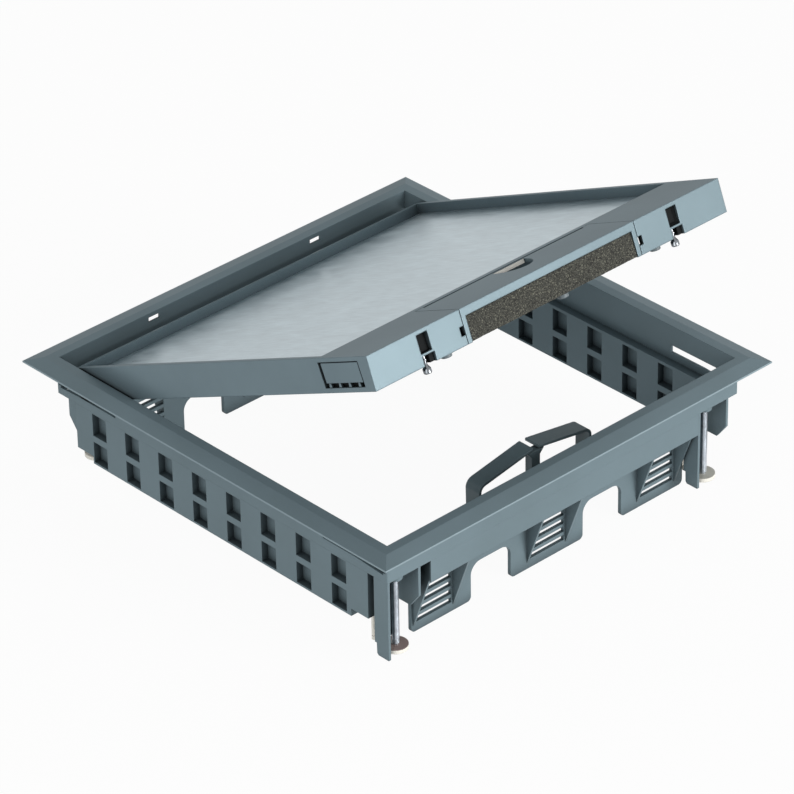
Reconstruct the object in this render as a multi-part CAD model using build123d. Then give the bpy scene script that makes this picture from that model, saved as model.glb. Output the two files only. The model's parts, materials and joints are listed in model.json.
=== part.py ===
from build123d import *
import os

# Floor service outlet: a square drop-in frame with a hinged lid, shown with its lid raised.
# +X is right seen from the cord outlet, -Y is the cord outlet side, +Z is up.
# The origin is the bottom centre of the frame. Depths are measured down from the rim.

# Heights of the frame
RIM_HEIGHT = 69.5
FLANGE_DROP = 2.2
FLANGE_EDGE = 0.8
BAND_DEPTH = 20.7
TALL_BAND_DEPTH = 33.0
LEDGE_DEPTH = 19.7
LEDGE_THICKNESS = 1.8
SIDE_WALL_DEPTH = 51.3
SIDE_END_DEPTH = 47.0

# Plan of the frame: the flange's half width, and how far the rest stands back from it
FLANGE_HALF = 132.0
FLANGE_SLOPE_WIDTH = 7.8
FLANGE_OVERHANG = 11.8
SIDE_BAND_THICKNESS = 1.3
END_BAND_THICKNESS = 1.1
SIDE_RAIL_THICKNESS = 6.0
SIDE_RAIL_SETBACK = 13.7
SIDE_END_LENGTH = 12.0
CORNER_ROUND = 0.8

# Pockets that turn each side rail into a corrugated wall
POCKET_END_SETBACK = 19.035
POCKET_SHIFT = -1.15
POCKET_WIDTH = 10.3
POCKET_DEPTH = 4.2
POCKET_COLUMNS = 8
UPPER_POCKET = (21.5, 34.4)
LOWER_POCKET = (38.1, 50.2)

# Hinge slots, with the shoes and pins that slide in them
SLOT_LENGTH = 43.4
SLOT_END_GAP = 1.3
SLOT_HEIGHT = 4.2
SLOT_FLARE_STEP = 0.6
SLOT_FLARE_DROP = 1.3
SLOT_FLARE_SETBACKS = (20.9, 14.9, 1.4)
PIN_RADIUS = 1.4
PIN_INSET = 2.6
PIN_DEPTH = 13.4
PIN_CLEARANCE = 0.05
PIN_BOSS_LENGTH = 9.0
SHOE_LENGTH = 5.0
SHOE_CLEARANCE = 0.1
SHOE_LIP = 1.2
SHOE_LIP_THICKNESS = 0.7
SHOE_LIP_GAP = 0.3

# Small slots through the front and back of the rim
RIM_SLOT_X = (-56.2, 54.6)
RIM_SLOT_LENGTH = 7.2
RIM_SLOT_DEPTHS = (2.4, 5.2)

# Front and back walls, set back under the ledge
BAND_END_GAP = 28.2
PANEL_SETBACK = 14.2
PANEL_THICKNESS = 2.0
PANEL_OVERRUN = 4.0
PANEL_END_DEPTH = 45.0
SIDE_BLOCK_WIDTH = 40.0
MIDDLE_BLOCK_HALF_WIDTH = 25.0
ARCH_CROWN_DEPTH = 48.8
ARCH_ROUND = 6.5
BLOCK_ROUND = 2.5

# Slotted scoops between two cheek ribs
SCOOP_INSET = 15.0
SCOOP_WIDTH = 25.4
CHEEK_THICKNESS = 1.2
CHEEK_TOP_DEPTH = 30.0
CHEEK_TIP_DEPTH = 66.0
LOUVRE_COUNT = 6
LOUVRE_LENGTH = 23.4
LOUVRE_HEIGHT = 3.0
LOUVRE_FIRST_DEPTH = 36.8
LOUVRE_PITCH = 4.9

# Corner brackets that carry the levelling screws
BRACKET_PLATE = 1.5
BRACKET_PITCH = 20.0
LEG_WIDTH = 8.0
LEG_DEPTH = 64.8
LEG_CHAMFER = 1.0
LEG_FLANGE_WIDTH = 10.0
LEG_FLANGE_DEPTH = 58.0
HOOK_DEPTH = 45.0
HOOK_CHAMFER = (6.0, 8.0)
BOSS_RADIUS = 4.0
BOSS_DEPTH = 23.6
SCREW_OFFSET = 9.4
SCREW_SETBACK = 5.2
SCREW_RADIUS = 2.0
SCREW_CLEARANCE = 0.05
SCREW_TOP_DEPTH = 20.9
PAD_RADIUS = 6.3
PAD_DEPTH = 63.6
PAD_THICKNESS = 2.2
GUIDE_SPAN = (5.8, 14.0)
GUIDE_TOP_DEPTH = 50.0
GUIDE_THICKNESS = 1.4
GUIDE_GAP = 0.4

# Lid
LID_THICKNESS = 17.6
LID_DRAFT = 1.0
LID_SHOE_GAP = 0.35
LID_REAR_GAP = 0.15
LID_FRONT_GAP = 1.85
LID_ANGLE = 25.08
LID_SLIDE = 16.28
TRAY_WALL = 2.5
PLATE_DEPTH = 5.3
PLATE_THICKNESS = 2.0
PLATE_GAP = 0.1
DECK_THICKNESS = 2.2
RIB_THICKNESS = 1.8
RIB_DEPTH = 15.5
FRONT_BAR_LENGTH = 36.9
BAR_TOP_THICKNESS = 2.6

# Cord outlet in the front bar
OUTLET_LATCH_SPACING = 24.8
OUTLET_LENGTH = 33.0
OUTLET_GAP = 0.3
GROOVE_INSET = 4.9
GROOVE_WIDTH = 1.8
FLAP_TOP_THICKNESS = 2.2
FLAP_LIP_HEIGHT = 4.3
FLAP_CHEEK = 2.6
FLAP_CHEEK_LENGTH = 11.0
FOAM_THICKNESS = 7.0
FOAM_BOTTOM_DEPTH = 17.4
GRIP_X = 1.0
GRIP_HALF_WIDTH = 10.5
GRIP_REACH = 14.8
GRIP_SETBACK = 0.9
GRIP_EDGE_THICKNESS = 0.5
GRIP_EDGE_DEPTHS = (0.1, 2.0)

# Windows, catches and bumpers of the lid
LATCH_INSET = 34.35
LATCH_WINDOW = (7.0, 9.5)
LATCH_WINDOW_DEPTH = 2.1
LATCH_BLOCK_LENGTH = 10.0
LATCH_CAVITY = 5.0
LATCH_NOTCH = (-3.2, 4.6)
LATCH_NOTCH_DEPTH = 12.7
CLIP_SPAN = (1.5, 4.4)
CLIP_DEPTHS = (13.2, 17.3)
CLIP_LENGTH = 3.5
TONGUE_REACH = 2.6
TONGUE_DEPTHS = (8.2, 12.8)
INSERT_SPAN = (7.8, 38.2)
INSERT_TILE_SPAN = (8.4, 36.7)
INSERT_DEPTHS = (2.2, 15.2)
INSERT_TILE_DEPTHS = (2.7, 12.8)
INSERT_BACKING = 1.0
TOOTH_COUNT = 4
STUD_SETBACK = 4.7
STUD_HEAD_RADIUS = 2.1
STUD_STEM_RADIUS = 1.1
STUD_LENGTH = 4.6
STUD_HEAD_HEIGHT = 3.0
STUD_HOLE = (8.0, 9.0)
BUMPER_LATCH_SPACING = 13.2
BUMPER_SETBACK = 4.6
BUMPER_RADIUS = 2.75
BUMPER_HEIGHT = 1.8
MIDDLE_BUMPER_X = 7.0

# Cable retainer: two arms and the post that their ends rest on
ARM_BACK_SETBACK = 31.3
ARM_WIDTH = 9.5
ARM_THICKNESS = 1.5
ARM_TIP_X = 1.9
ARM_TIP_DEPTH = 8.0
ARM_BEND_X = 38.6
ARM_BEND_DEPTH = 14.0
ARM_BEND_ROUND = 4.0
ARM_PIVOT_X = 37.5
ARM_PIVOT_DEPTH = 36.0
ARM_EYE_RADIUS = 4.0
ARM_PIN_RADIUS = 2.0
ARM_GAP = 0.3
POST_HALF_WIDTH = 2.8
POST_HEAD_HALF_WIDTH = 5.5
POST_HEAD_HEIGHT = 3.0
POST_THICKNESS = 4.5
POST_FOOT_DEPTH = 34.0
POST_FOOT_HEIGHT = 8.0

# Places worked out from the sizes above
FLANGE_FLAT_HALF = FLANGE_HALF - FLANGE_SLOPE_WIDTH
WALL_OUTER_HALF = FLANGE_HALF - FLANGE_OVERHANG
SIDE_RAIL_HALF_LENGTH = WALL_OUTER_HALF - SIDE_RAIL_SETBACK
SIDE_DEEP_HALF_LENGTH = SIDE_RAIL_HALF_LENGTH - SIDE_END_LENGTH
POCKET_PITCH = 2 * (SIDE_RAIL_HALF_LENGTH - POCKET_END_SETBACK) / (POCKET_COLUMNS - 1)
SLOT_FAR = WALL_OUTER_HALF - SLOT_END_GAP
SLOT_NEAR = SLOT_FAR - SLOT_LENGTH
BAND_HALF = WALL_OUTER_HALF - BAND_END_GAP
OPENING_HALF_X = WALL_OUTER_HALF - SIDE_BAND_THICKNESS
OPENING_HALF_Y = WALL_OUTER_HALF - END_BAND_THICKNESS
PANEL_RIGHT = BAND_HALF + PANEL_OVERRUN
BLOCK_SPANS = ((-BAND_HALF, SIDE_BLOCK_WIDTH - BAND_HALF), (-MIDDLE_BLOCK_HALF_WIDTH, MIDDLE_BLOCK_HALF_WIDTH),
               (BAND_HALF - SIDE_BLOCK_WIDTH, PANEL_RIGHT))
SCOOP_X = BAND_HALF - SCOOP_INSET
SCOOP_CENTRES = (-SCOOP_X, 0.0, SCOOP_X)
PANEL_FRONT = -WALL_OUTER_HALF + PANEL_SETBACK
PANEL_BACK = PANEL_FRONT + PANEL_THICKNESS
BRACKET_LEFT = -WALL_OUTER_HALF
BRACKET_RIGHT = BAND_HALF
PANEL_LEFT = BRACKET_LEFT + BRACKET_PITCH + BRACKET_PLATE
PIN_Z = RIM_HEIGHT - PIN_DEPTH
SHOE_LIP_OUTER = OPENING_HALF_X - SHOE_LIP_GAP
SHOE_LIP_INNER = SHOE_LIP_OUTER - SHOE_LIP_THICKNESS
LID_HALF_WIDTH = SHOE_LIP_INNER - LID_SHOE_GAP
LID_REAR = OPENING_HALF_Y - LID_REAR_GAP
LID_FRONT = LID_FRONT_GAP - OPENING_HALF_Y
LATCH_X = LID_HALF_WIDTH - LATCH_INSET
BUMPER_X = LATCH_X - BUMPER_LATCH_SPACING
OUTLET_HALF_WIDTH = LATCH_X - OUTLET_LATCH_SPACING
GROOVE_HALF_WIDTH = OUTLET_HALF_WIDTH - GROOVE_INSET
PIN_Y_CLOSED = LID_REAR - PIN_INSET
PIN_Y_REST = PIN_Y_CLOSED - LID_SLIDE
LID_BOTTOM = RIM_HEIGHT - LID_THICKNESS
LID_INNER_HALF = LID_HALF_WIDTH - TRAY_WALL
RECESS_FRONT = LID_FRONT + FRONT_BAR_LENGTH
RECESS_REAR = LID_REAR - TRAY_WALL
RECESS_FLOOR = RIM_HEIGHT - PLATE_DEPTH - PLATE_THICKNESS
DECK_BOTTOM = RECESS_FLOOR - DECK_THICKNESS
OUTLET_REAR = LID_FRONT + OUTLET_LENGTH
GRIP_Y = OUTLET_REAR - GROOVE_WIDTH - GRIP_SETBACK
STUD_Y = LID_FRONT + STUD_SETBACK
NOTCH_BACK = STUD_Y + STUD_STEM_RADIUS
ARM_BACK_Y = -WALL_OUTER_HALF + ARM_BACK_SETBACK
ARM_FRONT_Y = ARM_BACK_Y - ARM_WIDTH
ARM_SLOPE = (ARM_BEND_DEPTH - ARM_TIP_DEPTH) / (ARM_BEND_X - ARM_TIP_X)
POST_HEAD_DEPTH = ARM_TIP_DEPTH + ARM_THICKNESS + ARM_GAP + ARM_SLOPE * (POST_HEAD_HALF_WIDTH - ARM_TIP_X)
CUT = 1.0


def level(depth):
    """Height of a plane that lies depth below the rim."""
    return RIM_HEIGHT - depth


def slab(x_range, y_range, z_range):
    """Rectangular profile in X and Y, extruded from one height to the other."""
    centre = Pos((x_range[0] + x_range[1]) / 2, (y_range[0] + y_range[1]) / 2, min(z_range))
    profile = centre * Rectangle(abs(x_range[1] - x_range[0]), abs(y_range[1] - y_range[0]))
    return extrude(profile, amount=abs(z_range[1] - z_range[0]), dir=(0, 0, 1))


def along_x(points, x_range):
    """Profile of (y, z) points extruded between two X planes."""
    profile = Plane.YZ.offset(x_range[0]) * Polygon(*points, align=None)
    return extrude(profile, amount=x_range[1] - x_range[0], dir=(1, 0, 0))


def along_y(points, y_range):
    """Profile of (x, z) points extruded between two Y planes."""
    profile = Plane.XZ.offset(-y_range[0]) * Polygon(*points, align=None)
    return extrude(profile, amount=y_range[1] - y_range[0], dir=(0, 1, 0))


def pin_x(x_range, y, z, radius):
    """Round bar along X."""
    profile = Plane.YZ.offset(x_range[0]) * Pos(y, z) * Circle(radius)
    return extrude(profile, amount=x_range[1] - x_range[0], dir=(1, 0, 0))


def pin_y(x, y_range, z, radius):
    """Round bar along Y."""
    profile = Plane.XZ.offset(-y_range[0]) * Pos(x, z) * Circle(radius)
    return extrude(profile, amount=y_range[1] - y_range[0], dir=(0, 1, 0))


def pin_z(x, y, z_range, radius):
    """Round bar along Z."""
    profile = Pos(x, y, z_range[0]) * Circle(radius)
    return extrude(profile, amount=z_range[1] - z_range[0], dir=(0, 0, 1))


def turned(shape):
    """The same piece on the opposite side, turned half round about the centre."""
    return Rot(0, 0, 180) * shape


def mirrored(shape):
    """The same piece on the other side of the YZ plane."""
    return mirror(shape, about=Plane.YZ)


def raised(shape):
    """A lid piece, moved from the closed lid to the raised one."""
    turn = Pos(0, PIN_Y_REST, PIN_Z) * Rot(-LID_ANGLE, 0, 0)
    return turn * Pos(0, -PIN_Y_CLOSED, -PIN_Z) * shape


def square(half, z):
    """Square face centred on the axis, at one height."""
    return Pos(0, 0, z) * Rectangle(2 * half, 2 * half)


def make_flares(bottom):
    """Profiles of the lower edges of the front and rear hinge slots, which drop towards the corners."""
    front_start, rear_bend, end = (SLOT_FAR - setback for setback in SLOT_FLARE_SETBACKS)
    low = bottom - SLOT_FLARE_DROP
    step = bottom - SLOT_FLARE_STEP
    inside = bottom + CUT
    front = [(-front_start, bottom), (-end, low), (-end, inside), (-front_start, inside)]
    rear = [(SLOT_NEAR, step), (rear_bend, step), (end, low), (end, inside), (SLOT_NEAR, inside)]
    return [front, rear]


def make_rim():
    """Sloped flange with the upright band below it, slotted for the hinge pins."""
    edge_top = level(FLANGE_DROP)
    edge_bottom = level(FLANGE_DROP + FLANGE_EDGE)
    band_bottom = level(BAND_DEPTH)
    slope = loft([square(FLANGE_HALF, edge_top), square(FLANGE_FLAT_HALF, RIM_HEIGHT)], ruled=True)
    edge = extrude(square(FLANGE_HALF, edge_bottom), amount=FLANGE_EDGE, dir=(0, 0, 1))
    band = extrude(square(WALL_OUTER_HALF, band_bottom), amount=edge_bottom - band_bottom, dir=(0, 0, 1))
    band = fillet(band.edges().filter_by(Axis.Z), CORNER_ROUND)
    opening = slab((-OPENING_HALF_X, OPENING_HALF_X), (-OPENING_HALF_Y, OPENING_HALF_Y),
                   (band_bottom, RIM_HEIGHT))
    rim = slope + edge + band - opening
    slot_z = (PIN_Z - SLOT_HEIGHT / 2, PIN_Z + SLOT_HEIGHT / 2)
    for side in (-1, 1):
        across = (side * (OPENING_HALF_X - CUT), side * (WALL_OUTER_HALF + CUT))
        for end in (-1, 1):
            rim -= slab(across, (end * SLOT_NEAR, end * SLOT_FAR), slot_z)
        for flare in make_flares(slot_z[0]):
            rim -= along_x(flare, sorted(across))
    for end in (-1, 1):
        through = (end * (OPENING_HALF_Y - CUT), end * (WALL_OUTER_HALF + CUT))
        for x in RIM_SLOT_X:
            near = end * x - RIM_SLOT_LENGTH / 2
            rim -= slab((near, near + RIM_SLOT_LENGTH), through, [level(depth) for depth in RIM_SLOT_DEPTHS])
    return rim


def make_side_wall():
    """Right side rail: outer and inner pockets alternate and leave a corrugated wall."""
    top = level(LEDGE_DEPTH)
    end = SIDE_RAIL_HALF_LENGTH
    deep = SIDE_DEEP_HALF_LENGTH
    end_bottom = level(SIDE_END_DEPTH)
    bottom = level(SIDE_WALL_DEPTH)
    outline = [(-end, top), (end, top), (end, end_bottom), (deep, end_bottom), (deep, bottom),
               (-deep, bottom), (-deep, end_bottom), (-end, end_bottom)]
    outer = WALL_OUTER_HALF
    inner = outer - SIDE_RAIL_THICKNESS
    rail = along_x(outline, (inner, outer))
    rail -= slab((OPENING_HALF_X, outer + CUT), (-end - CUT, end + CUT), (level(BAND_DEPTH), top + CUT))
    first = POCKET_SHIFT - POCKET_PITCH * (POCKET_COLUMNS - 1) / 2
    for i in range(2 * POCKET_COLUMNS - 1):
        y = first + i * POCKET_PITCH / 2
        outside = i % 2 == 0
        across = (outer - POCKET_DEPTH, outer + CUT) if outside else (inner - CUT, inner + POCKET_DEPTH)
        for upper, lower in (UPPER_POCKET, LOWER_POCKET):
            rail -= slab(across, (y - POCKET_WIDTH / 2, y + POCKET_WIDTH / 2), (level(upper), level(lower)))
    return rail


def make_panel():
    """Set-back wall with three hanging blocks and the rounded arches between them."""
    depth = (PANEL_FRONT, PANEL_BACK)
    crown = level(ARCH_CROWN_DEPTH)
    end_bottom = level(PANEL_END_DEPTH)
    panel = slab((PANEL_LEFT, PANEL_RIGHT), depth, (end_bottom, level(LEDGE_DEPTH)))
    panel += slab((BLOCK_SPANS[0][0], BLOCK_SPANS[-1][1]), depth, (crown, end_bottom))
    for left, right in BLOCK_SPANS:
        block = slab((left, right), depth, (0, crown))
        lower = block.edges().filter_by(Axis.Y).group_by(Axis.Z)[0]
        panel += fillet(lower, BLOCK_ROUND)
    for (_, left), (right, _) in zip(BLOCK_SPANS[:-1], BLOCK_SPANS[1:]):
        for x, way in ((left, 1), (right, -1)):
            centre_x = x + way * ARCH_ROUND
            corner = slab((x, centre_x), depth, (crown - ARCH_ROUND, crown))
            panel += corner - pin_y(centre_x, depth, crown - ARCH_ROUND, ARCH_ROUND)
    return panel


def make_cheeks(centre):
    """Two ribs that stand out from the panel under the band and taper away downwards."""
    ledge_bottom = level(LEDGE_DEPTH + LEDGE_THICKNESS)
    profile = [(PANEL_FRONT, ledge_bottom), (-OPENING_HALF_Y, ledge_bottom),
               (-OPENING_HALF_Y, level(CHEEK_TOP_DEPTH)), (PANEL_FRONT, level(CHEEK_TIP_DEPTH))]
    half = SCOOP_WIDTH / 2
    left = along_x(profile, (centre - half - CHEEK_THICKNESS, centre - half))
    right = along_x(profile, (centre + half, centre + half + CHEEK_THICKNESS))
    return left + right


def make_louvres(centre):
    """Stack of horizontal slots through the panel between two cheeks."""
    half = LOUVRE_LENGTH / 2
    slots = []
    for i in range(LOUVRE_COUNT):
        top = level(LOUVRE_FIRST_DEPTH + i * LOUVRE_PITCH)
        slots.append(slab((centre - half, centre + half), (PANEL_FRONT - CUT, PANEL_BACK + CUT),
                          (top - LOUVRE_HEIGHT, top)))
    return slots


def make_end_wall():
    """Tall band, ledge with catch holes, and the set-back panel with its scoops."""
    band = slab((-BAND_HALF, BAND_HALF), (-WALL_OUTER_HALF, -OPENING_HALF_Y),
                (level(TALL_BAND_DEPTH), level(BAND_DEPTH)))
    ledge_z = (level(LEDGE_DEPTH + LEDGE_THICKNESS), level(LEDGE_DEPTH))
    ledge = slab((PANEL_LEFT, BAND_HALF), (-OPENING_HALF_Y, PANEL_BACK), ledge_z)
    for side in (-1, 1):
        x = side * LATCH_X
        ledge -= slab((x - STUD_HOLE[0] / 2, x + STUD_HOLE[0] / 2),
                      (STUD_Y - STUD_HOLE[1] / 2, STUD_Y + STUD_HOLE[1] / 2), ledge_z)
    wall = band + ledge + make_panel()
    for centre in SCOOP_CENTRES:
        wall += make_cheeks(centre)
        for slot in make_louvres(centre):
            wall -= slot
    return wall


def make_pivot():
    """Shouldered pin behind the front wall, on which the right retaining arm turns."""
    z = level(ARM_PIVOT_DEPTH)
    shoulder = pin_y(ARM_PIVOT_X, (PANEL_BACK, ARM_FRONT_Y - ARM_GAP), z, ARM_EYE_RADIUS)
    return shoulder + pin_y(ARM_PIVOT_X, (PANEL_BACK, ARM_BACK_Y), z, ARM_PIN_RADIUS)


def make_bracket(start):
    """Corner bracket: angled leg, short hook plate, and a web with the screw boss."""
    front = -WALL_OUTER_HALF
    top = level(BAND_DEPTH)
    leg_back = front + LEG_WIDTH
    leg_bottom = level(LEG_DEPTH)
    leg = along_x([(front, top), (leg_back + BRACKET_PLATE, top), (leg_back, leg_bottom + LEG_CHAMFER),
                   (leg_back - LEG_CHAMFER, leg_bottom), (front, leg_bottom)], (start, start + BRACKET_PLATE))
    web_bottom = level(LEDGE_DEPTH + LEDGE_THICKNESS)
    flange = slab((start, start + LEG_FLANGE_WIDTH), (leg_back, leg_back + BRACKET_PLATE),
                  (level(LEG_FLANGE_DEPTH), web_bottom))
    hook_x = start + BRACKET_PITCH
    chamfer_y, chamfer_z = HOOK_CHAMFER
    hook = along_x([(front, top), (PANEL_BACK, top), (PANEL_BACK, level(HOOK_DEPTH)),
                    (front + chamfer_y, level(HOOK_DEPTH)), (front, level(HOOK_DEPTH - chamfer_z))],
                   (hook_x, hook_x + BRACKET_PLATE))
    web = slab((max(start, -OPENING_HALF_X), hook_x + BRACKET_PLATE), (-OPENING_HALF_Y, -SIDE_RAIL_HALF_LENGTH),
               (web_bottom, level(LEDGE_DEPTH)))
    x = start + SCREW_OFFSET
    y = front + SCREW_SETBACK
    boss = pin_z(x, y, (level(BOSS_DEPTH), web_bottom), BOSS_RADIUS)
    hole = pin_z(x, y, (level(BOSS_DEPTH) - CUT, level(LEDGE_DEPTH) + CUT), SCREW_RADIUS + SCREW_CLEARANCE)
    return leg + flange + hook + web + boss - hole


def make_screw(start):
    """Levelling screw that stands on its foot pad."""
    x = start + SCREW_OFFSET
    y = -WALL_OUTER_HALF + SCREW_SETBACK
    return pin_z(x, y, (level(PAD_DEPTH - PAD_THICKNESS), level(SCREW_TOP_DEPTH)), SCREW_RADIUS)


def make_pad(start):
    """Round foot pad below a levelling screw, with the upright guide behind it."""
    x = start + SCREW_OFFSET
    y = -WALL_OUTER_HALF + SCREW_SETBACK
    pad_z = (level(PAD_DEPTH), level(PAD_DEPTH - PAD_THICKNESS))
    guide_front = PANEL_BACK + GUIDE_GAP
    guide_back = guide_front + GUIDE_THICKNESS
    near, far = (start + offset for offset in GUIDE_SPAN)
    pad = pin_z(x, y, pad_z, PAD_RADIUS) + slab((x - PAD_RADIUS / 2, x), (y, guide_back), pad_z)
    return pad + slab((near, far), (guide_front, guide_back), (pad_z[0], level(GUIDE_TOP_DEPTH)))


def make_arm():
    """Right retaining arm: a bent strip with an eye at its foot."""
    half = ARM_THICKNESS / 2
    z = level(ARM_PIVOT_DEPTH)
    line = FilletPolyline((ARM_TIP_X, level(ARM_TIP_DEPTH + half)), (ARM_BEND_X - half, level(ARM_BEND_DEPTH + half)),
                          (ARM_PIVOT_X, z), radius=ARM_BEND_ROUND)
    strip = Plane.XZ.offset(-ARM_FRONT_Y) * trace(line, line_width=ARM_THICKNESS)
    arm = extrude(strip, amount=ARM_WIDTH, dir=(0, 1, 0))
    arm += pin_y(ARM_PIVOT_X, (ARM_FRONT_Y, ARM_BACK_Y), z, ARM_EYE_RADIUS)
    arm -= slab((0, ARM_TIP_X), (ARM_FRONT_Y - CUT, ARM_BACK_Y + CUT), (z, RIM_HEIGHT))
    return arm - pin_y(ARM_PIVOT_X, (ARM_FRONT_Y - CUT, ARM_BACK_Y + CUT), z, ARM_PIN_RADIUS + PIN_CLEARANCE)


def make_post():
    """Post between the arms, whose wedge-shaped head their free ends rest on."""
    head_top = level(POST_HEAD_DEPTH)
    head_bottom = head_top - POST_HEAD_HEIGHT
    foot = level(POST_FOOT_DEPTH)
    back = ARM_FRONT_Y + POST_THICKNESS
    half = POST_HALF_WIDTH
    head_half = POST_HEAD_HALF_WIDTH
    profile = [(-half, foot), (half, foot), (half, head_bottom), (head_half, head_top), (-head_half, head_top),
               (-half, head_bottom)]
    post = along_y(profile, (ARM_FRONT_Y, back))
    return post + slab((-half, half), (PANEL_BACK, back), (foot, foot + POST_FOOT_HEIGHT))


def make_shoe():
    """Right hinge shoe: a web that slides in the slot behind a lip, bored for the pin."""
    half_height = SLOT_HEIGHT / 2 - SHOE_CLEARANCE
    lip_half_height = SLOT_HEIGHT / 2 + SHOE_LIP
    y_range = (PIN_Y_REST - SHOE_LENGTH / 2, PIN_Y_REST + SHOE_LENGTH / 2)
    shoe = slab((SHOE_LIP_OUTER, WALL_OUTER_HALF), y_range, (PIN_Z - half_height, PIN_Z + half_height))
    shoe += slab((SHOE_LIP_INNER, SHOE_LIP_OUTER), y_range, (PIN_Z - lip_half_height, PIN_Z + lip_half_height))
    return shoe - pin_x((SHOE_LIP_INNER - CUT, WALL_OUTER_HALF + CUT), PIN_Y_REST, PIN_Z, PIN_RADIUS + PIN_CLEARANCE)


def make_hinge_pin():
    """Right hinge pin, pressed into the lid's rear corner."""
    return raised(pin_x((LID_HALF_WIDTH - PIN_BOSS_LENGTH, WALL_OUTER_HALF), PIN_Y_CLOSED, PIN_Z, PIN_RADIUS))


def make_underside():
    """Hollow below the deck."""
    return slab((-LID_INNER_HALF, LID_INNER_HALF), (RECESS_FRONT, RECESS_REAR - PIN_INSET),
                (LID_BOTTOM, DECK_BOTTOM))


def make_ribs():
    """Two crossed stiffening ribs below the deck."""
    half = RIB_THICKNESS / 2
    rear = RECESS_REAR - PIN_INSET
    middle = (RECESS_FRONT + rear) / 2
    rib_z = (level(RIB_DEPTH), DECK_BOTTOM)
    long_rib = slab((-half, half), (RECESS_FRONT, rear), rib_z)
    return raised(long_rib + slab((-LID_INNER_HALF, LID_INNER_HALF), (middle - half, middle + half), rib_z))


def make_bar_cuts(side):
    """Cuts in one end of the front bar: its hollow, and the latch, tongue and insert windows."""
    face = LID_FRONT + LID_DRAFT + TRAY_WALL
    near = side * (OUTLET_HALF_WIDTH + TRAY_WALL)
    inner = side * LID_INNER_HALF
    latch = side * LATCH_X
    half_block = LATCH_BLOCK_LENGTH / 2
    behind = STUD_Y + half_block
    hollow_z = (LID_BOTTOM, level(BAR_TOP_THICKNESS))
    window_top = level(LATCH_WINDOW_DEPTH)
    before = LID_FRONT - CUT
    return [
        slab((near, inner), (behind, RECESS_FRONT - TRAY_WALL), hollow_z),
        slab((near, latch - side * half_block), (face, behind), hollow_z),
        slab((latch + side * half_block, inner), (face, behind), hollow_z),
        slab((latch - LATCH_WINDOW[0] / 2, latch + LATCH_WINDOW[0] / 2), (before, LID_FRONT + LATCH_CAVITY),
             (window_top - LATCH_WINDOW[1], window_top)),
        slab((latch + LATCH_NOTCH[0], latch + LATCH_NOTCH[1]), (before, NOTCH_BACK),
             (LID_BOTTOM, level(LATCH_NOTCH_DEPTH))),
        slab((side * (OUTLET_HALF_WIDTH - CUT), side * (OUTLET_HALF_WIDTH + TONGUE_REACH)),
             (before, face + CUT), [level(depth) for depth in TONGUE_DEPTHS]),
        slab((inner - side * CUT, side * (LID_HALF_WIDTH + CUT)),
             [LID_FRONT + reach for reach in INSERT_SPAN], [level(depth) for depth in INSERT_DEPTHS]),
    ]


def make_tray():
    """Lid tray: recess for the plate, ribbed underside, hollow front bar with the outlet gap."""
    half = LID_HALF_WIDTH
    tray = along_x([(LID_REAR, RIM_HEIGHT), (LID_FRONT, RIM_HEIGHT), (LID_FRONT + LID_DRAFT, LID_BOTTOM),
                    (LID_REAR, LID_BOTTOM)], (-half, half))
    tray -= slab((-LID_INNER_HALF, LID_INNER_HALF), (RECESS_FRONT, RECESS_REAR), (RECESS_FLOOR, RIM_HEIGHT + CUT))
    tray -= make_underside()
    for side in (-1, 1):
        for cut in make_bar_cuts(side):
            tray -= cut
        pin_span = sorted((side * (half - PIN_BOSS_LENGTH), side * (half + CUT)))
        tray -= pin_x(pin_span, PIN_Y_CLOSED, PIN_Z, PIN_RADIUS)
        tray += pin_z(side * BUMPER_X, LID_FRONT + BUMPER_SETBACK, (LID_BOTTOM, level(BAR_TOP_THICKNESS)),
                      BUMPER_RADIUS)
    tray -= slab((-OUTLET_HALF_WIDTH, OUTLET_HALF_WIDTH), (LID_FRONT - CUT, OUTLET_REAR),
                 (LID_BOTTOM - CUT, RIM_HEIGHT + CUT))
    return raised(tray)


def make_plate():
    """Metal plate laid in the tray's recess."""
    half = LID_INNER_HALF - PLATE_GAP
    return raised(slab((-half, half), (RECESS_FRONT + PLATE_GAP, RECESS_REAR - PLATE_GAP),
                       (RECESS_FLOOR, RECESS_FLOOR + PLATE_THICKNESS)))


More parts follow.
